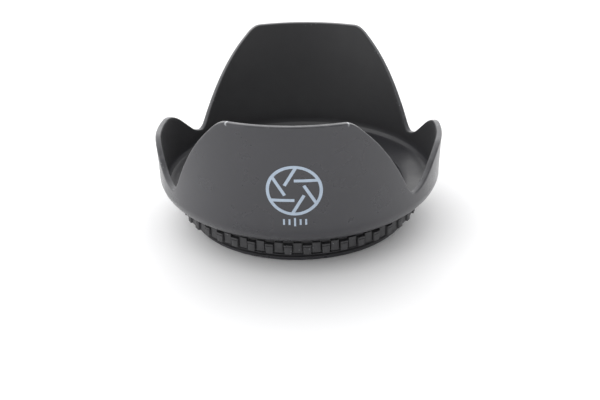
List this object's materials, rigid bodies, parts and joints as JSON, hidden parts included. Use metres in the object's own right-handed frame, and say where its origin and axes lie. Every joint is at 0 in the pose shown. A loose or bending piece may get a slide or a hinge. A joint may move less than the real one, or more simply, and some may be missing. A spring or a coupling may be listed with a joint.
{
  "type": "lens hood",
  "caption": "Petal-shaped screw-in lens hood with a threaded neck and a knurled lock ring that sets the angle of the petals on the lens.",
  "frame": {"origin": "on the optical axis, at the end face of the threaded neck", "axes": "+Z along the optical axis, out of the hood towards the petals; the long petals stand at +Y and -Y, the short petals at +X and -X; the printed mark is on -Y"},
  "size_m": [0.0744, 0.0788, 0.0401],
  "materials": {
    "shell_plastic": "fine matte black moulded plastic, charcoal in the light",
    "ring_plastic": "matte black moulded plastic",
    "print_ink": "pale blue-grey pad-printed ink"
  },
  "bodies": {
    "hood": {"hood_shell": "shell_plastic", "hood_neck": "shell_plastic", "print_iris": "print_ink", "print_ticks": "print_ink"},
    "ring_thread": {"lock_ring_thread": "ring_plastic"},
    "ring": {"lock_ring": "ring_plastic"}
  },
  "joints": [
    {"name": "ring_travel", "type": "slide", "parent": "hood", "child": "ring_thread", "axis": [0, 0, 1], "range_m": [-0.003, 0]},
    {"name": "ring_turn", "type": "hinge", "parent": "ring_thread", "child": "ring", "pos_m": [0, 0, 0.0056], "axis": [0, 0, 1], "range_deg": [-1440, 0]}
  ],
  "couplings": [
    {"joint": "ring_travel", "follows": "ring_turn", "m_per_rad": 0.00011937}
  ]
}
